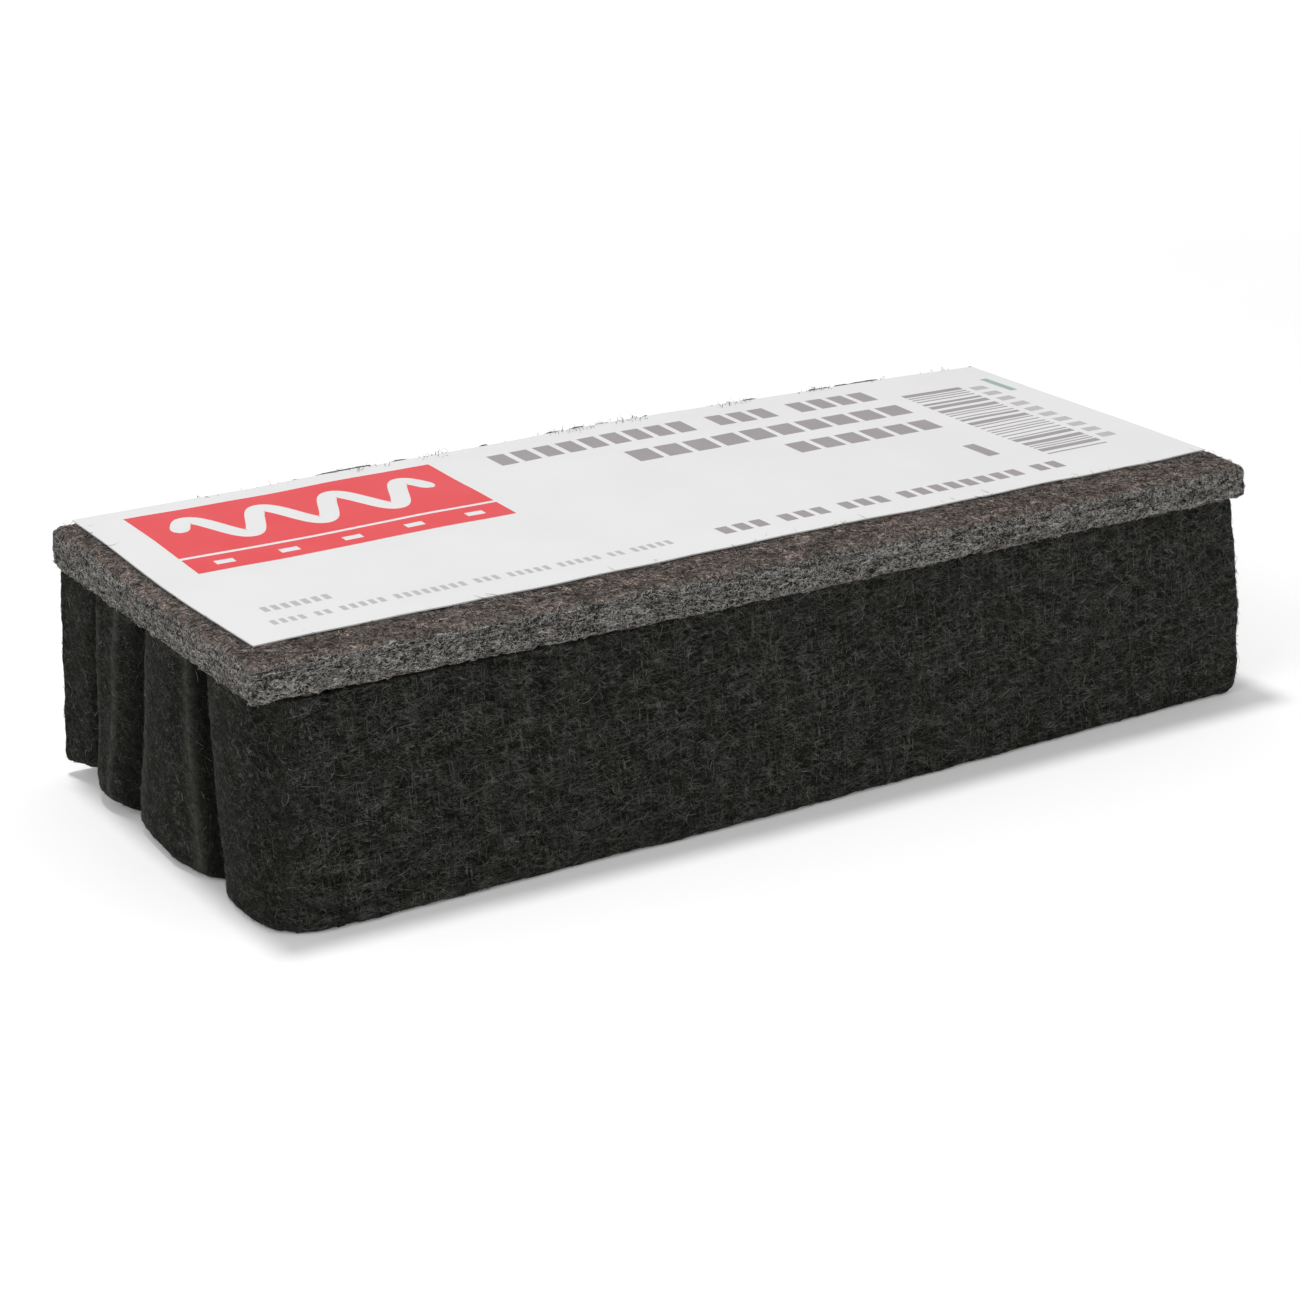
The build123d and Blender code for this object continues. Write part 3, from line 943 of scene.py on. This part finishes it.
def grow_fibres(name, slot, soup, weights, count, seed, tones, lengths, lift, grain, spread):
    """Thin curved fibres that lie on a felt surface, mostly along its grain.

    slot picks the fibres' materials and radii, and tones how often each material is taken. lift is
    how high the middle of a fibre stands; its tip stands up to twice as high. spread is how far
    the fibres turn away from the grain, in radians.
    """
    materials, radii = FIBRE_LOOKS[slot]
    rng = np.random.default_rng(seed)
    places, normals = soup.scatter(count, weights, rng)
    length = rng.uniform(0, 1, count) ** SHORT_BIAS * (lengths[1] - lengths[0]) + lengths[0]
    height = lift * rng.exponential(1.0, count).clip(0, 3)
    root = np.full(count, FIBRE_ROOT)
    rises = np.stack([root, 0.7 * height, height, height * rng.uniform(0, 2, count)], axis=1)
    heading = rng.normal(0, spread, count) + math.pi * rng.integers(0, 2, count)
    curl = rng.normal(0, FIBRE_CURL, count)
    grain = np.broadcast_to(np.asarray(grain, dtype=float), (count, 3))
    along = unit(grain - normals * (grain * normals).sum(axis=1, keepdims=True))
    aside = np.cross(normals, along)
    direction = along * np.cos(heading)[:, None] + aside * np.sin(heading)[:, None]
    spine = np.empty((count, FIBRE_POINTS, 3))
    outward = np.empty((count, FIBRE_POINTS, 3))
    for step in range(FIBRE_POINTS):
        spine[:, step] = places + normals * rises[:, step, None]
        outward[:, step] = normals
        turn = (curl + rng.normal(0, FIBRE_WANDER, count))[:, None]
        direction = direction * np.cos(turn) + np.cross(normals, direction) * np.sin(turn)
        direction = unit(direction - normals * (direction * normals).sum(axis=1, keepdims=True))
        if step < FIBRE_POINTS - 1:
            places, normals = soup.nearest(places + direction * (length / (FIBRE_POINTS - 1))[:, None])
    forward = unit(np.gradient(spine, axis=1))
    side = unit(np.cross(outward, forward))
    rise = np.cross(forward, side)
    radius = (rng.uniform(*radii, count)[:, None] * FIBRE_TAPER)[:, :, None]
    rings = []
    for corner in range(3):
        angle = 2 * math.pi * corner / 3
        rings.append(spine + radius * (side * math.cos(angle) + rise * math.sin(angle)))
    points = np.stack(rings, axis=2).reshape(-1, 3)
    points[:, 2] = points[:, 2].clip(0.0)
    template = [[2, 1, 0], [9, 10, 11]]
    for ring in range(0, 3 * (FIBRE_POINTS - 1), 3):
        for corner in range(3):
            after = (corner + 1) % 3
            template.append([ring + corner, ring + after, ring + after + 3, ring + corner + 3])
    faces = []
    for first in range(0, len(points), 3 * FIBRE_POINTS):
        faces += [[first + corner for corner in face] for face in template]
    tone = rng.choice(len(materials), count, p=tones)
    piece = make_mesh(name, points, faces, materials, np.repeat(tone, len(template)))
    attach(piece, "root")
    return piece


felt_soup = Soup(felt_pieces)
x, y, z = felt_soup.centres.T
face_x, face_y, face_z = felt_soup.normals.T
near_side = (face_y < -0.3) & (y < NEAR_Y + 1.5) & (x > NOSE_X + 2)
far_side = (face_y > 0.3) & (y > FAR_Y - 1.5) & (x > NOSE_X + 2)
nose_ends = (face_x < -0.15) & (x < NOSE_X + 5)
cut_ends = (face_x > 0.3) & (x > CUT_X - 1)
wiping_face = (face_z < -0.4) & (z < 3)
in_crevice = smoothstep(x - NOSE_X, 0.8, 3.5) * nose_ends
clumps = 0.25 + smoothstep(ripple(felt_soup.centres, 11, 61) + ripple(felt_soup.centres, 4, 62), -1.2, 1.6)
noses_open = nose_ends * (1 - 0.8 * in_crevice)

backing_soup = Soup([backing])
x, y, z = backing_soup.centres.T
face_z = backing_soup.normals[:, 2]
on_top = face_z > 0.6
under_label = on_top & (x > label_low[0] - 0.3) & (y > label_low[1] - 0.3)
lower_edge = smoothstep(z, backing_low[2] + 0.9, backing_low[2] + 0.3)
backing_sides = (np.abs(face_z) < 0.7) * (1 + 2 * lower_edge)
backing_bare = (on_top & ~under_label).astype(float)
far_rim = (on_top & (y > label_high[1] - 0.1)) * smoothstep(x, -50, -30)
far_rim = far_rim * smoothstep(ripple(backing_soup.centres * [1, 0, 0], 9, 63), -0.6, 1.2)

BLACK_TONES = [0.44, 0.49, 0.07]
NOSE_TONES = [0.64, 0.34, 0.02]
# Where each piece of fibres grows: name, weights, count, seed, tones, lengths, lift, grain, spread.
black_growths = [
    ("near_side", near_side * clumps, 10000, 201, BLACK_TONES, (0.4, 3.0), 0.06, (1, 0, 0), 0.7),
    ("near_side_short", near_side * clumps, 9500, 206, BLACK_TONES, (0.25, 1.3), 0.05, (1, 0, 0), 1.0),
    ("far_side", far_side * clumps, 10000, 202, BLACK_TONES, (0.4, 3.4), 0.06, (1, 0, 0), 0.7),
    ("noses", noses_open, 6000, 203, NOSE_TONES, (0.4, 1.8), 0.06, (0, 1, 0), 0.9),
    ("cut_ends", cut_ends, 5000, 204, BLACK_TONES, (0.5, 2.2), 0.12, (0, 0, 1), 1.2),
    ("wiping_face", wiping_face * clumps, 10000, 205, BLACK_TONES, (0.5, 2.6), 0.05, (1, 0, 0), 0.9),
]
grey_growths = [
    ("sides", backing_sides, 10000, 211, [0.38, 0.08, 0.54], (0.25, 1.3), 0.07, (1, 1, 0), 0.5),
    ("top", backing_bare, 7000, 212, [0.45, 0.37, 0.18], (0.4, 2.2), 0.1, (1, 0.3, 0), 1.3),
    ("far_rim", far_rim, 450, 213, [0.8, 0.1, 0.1], (0.2, 1.0), 0.25, (1, 0.3, 0), 0.8),
]
for place, *growth in black_growths:
    grow_fibres(f"black_fibres_{place}", "black_felt", felt_soup, *growth)
for place, *growth in grey_growths:
    grow_fibres(f"grey_fibres_{place}", "grey_felt", backing_soup, *growth)


# ---------------- floor, light and camera
FLOOR_RADIUS = 2500.0
FLOOR_RINGS = 24
FLOOR_SPOKES = 96
FLOOR_DROP = 0.05
# The floor glows faintly near the eraser, and more in the distance, like a white studio sweep.
NEAR_GLOW, NEAR_GLOW_REACH = 0.09, 150.0
FAR_GLOW, FAR_GLOW_REACH = 0.7, 900.0


def make_floor():
    """A pale round floor in rings, which is part of the stage and not of the object."""
    tree = Tree("pale_floor")
    cloud = tree.span(tree.noise(tree.object_mm(), 120.0, 2.0), 0.3, 0.7)
    white = tree.finish(tree.mix(cloud, linear(249, 249, 249), linear(251, 251, 251)), 0.9, specular=0.1)
    tree.shader.inputs["Emission Color"].default_value = (1, 1, 1, 1)
    away = tree.node("ShaderNodeVectorMath", {0: tree.object_mm()}, operation="LENGTH").outputs["Value"]
    glow = tree.span(away, NEAR_GLOW_REACH, FAR_GLOW_REACH, NEAR_GLOW, FAR_GLOW)
    tree.feed(tree.shader.inputs["Emission Strength"], glow)
    points = [(0.0, 0.0, 0.0)]
    faces = [[0, 1 + i, 1 + (i + 1) % FLOOR_SPOKES] for i in range(FLOOR_SPOKES)]
    for ring in range(FLOOR_RINGS):
        radius = FLOOR_RADIUS * ((ring + 1) / FLOOR_RINGS) ** 2
        for i in range(FLOOR_SPOKES):
            turn = 2 * math.pi * i / FLOOR_SPOKES
            points.append((radius * math.cos(turn), radius * math.sin(turn), 0.0))
        if ring:
            inner, outer = 1 + (ring - 1) * FLOOR_SPOKES, 1 + ring * FLOOR_SPOKES
            for i in range(FLOOR_SPOKES):
                j = (i + 1) % FLOOR_SPOKES
                faces.append([inner + i, outer + i, outer + j, inner + j])
    floor = make_mesh("floor", points, faces, [white])
    floor.location.z = -FLOOR_DROP * MM


def area_light(name, position, size, power):
    """A round soft lamp that points at the eraser, placed in metres, with its power in watts."""
    lamp = bpy.data.lights.new(name, "AREA")
    lamp.shape = "DISK"
    lamp.size = size
    lamp.energy = power
    light = bpy.data.objects.new(name, lamp)
    bpy.context.scene.collection.objects.link(light)
    light.location = position
    light.rotation_euler = (-Vector(position)).to_track_quat("-Z", "Y").to_euler()


HORIZON_TOP, OVERHEAD_START = 0.1, 0.6


def make_world(overhead, horizon):
    """A plain white studio, brighter towards the horizon than overhead."""
    world = bpy.data.worlds.new("studio")
    world.use_nodes = True
    nodes, links = world.node_tree.nodes, world.node_tree.links
    direction = nodes.new("ShaderNodeTexCoord")
    parts = nodes.new("ShaderNodeSeparateXYZ")
    strength = nodes.new("ShaderNodeMapRange")
    for socket, number in zip(strength.inputs[1:5], (HORIZON_TOP, OVERHEAD_START, horizon, overhead)):
        socket.default_value = number
    links.new(direction.outputs["Generated"], parts.inputs[0])
    links.new(parts.outputs[2], strength.inputs[0])
    links.new(strength.outputs[0], nodes["Background"].inputs[1])
    nodes["Background"].inputs[0].default_value = (1, 1, 1, 1)
    bpy.context.scene.world = world


CAMERA_AZIMUTH = -32.576
CAMERA_ELEVATION = 20.415
CAMERA_DISTANCE = 0.34439
CAMERA_TARGET = Vector((-2.384, 0.0, 11.304)) * MM
CAMERA_LENS = 83.4
SENSOR_WIDTH = 36.0


def make_camera():
    """The camera, aimed at its target from a distance in metres, azimuth 0 being the near side."""
    azimuth, elevation = math.radians(CAMERA_AZIMUTH), math.radians(CAMERA_ELEVATION)
    level = math.cos(elevation)
    back = Vector((math.sin(azimuth) * level, -math.cos(azimuth) * level, math.sin(elevation)))
    data = bpy.data.cameras.new("camera")
    data.lens = CAMERA_LENS
    data.sensor_width = SENSOR_WIDTH
    data.clip_start = 0.01
    data.clip_end = 20.0
    camera = bpy.data.objects.new("camera", data)
    bpy.context.scene.collection.objects.link(camera)
    camera.location = CAMERA_TARGET + back * CAMERA_DISTANCE
    camera.rotation_euler = (-back).to_track_quat("-Z", "Y").to_euler()
    bpy.context.scene.camera = camera


make_floor()
make_world(0.40, 1.0)
area_light("overhead", (-0.080, 0.060, 0.72), 0.10, 2.5)
area_light("key", (-0.65, -0.20, 0.55), 0.4, 1.1)
area_light("fill", (0.30, -0.70, 0.45), 0.6, 0.5)
make_camera()
bpy.context.scene.view_settings.view_transform = "Standard"
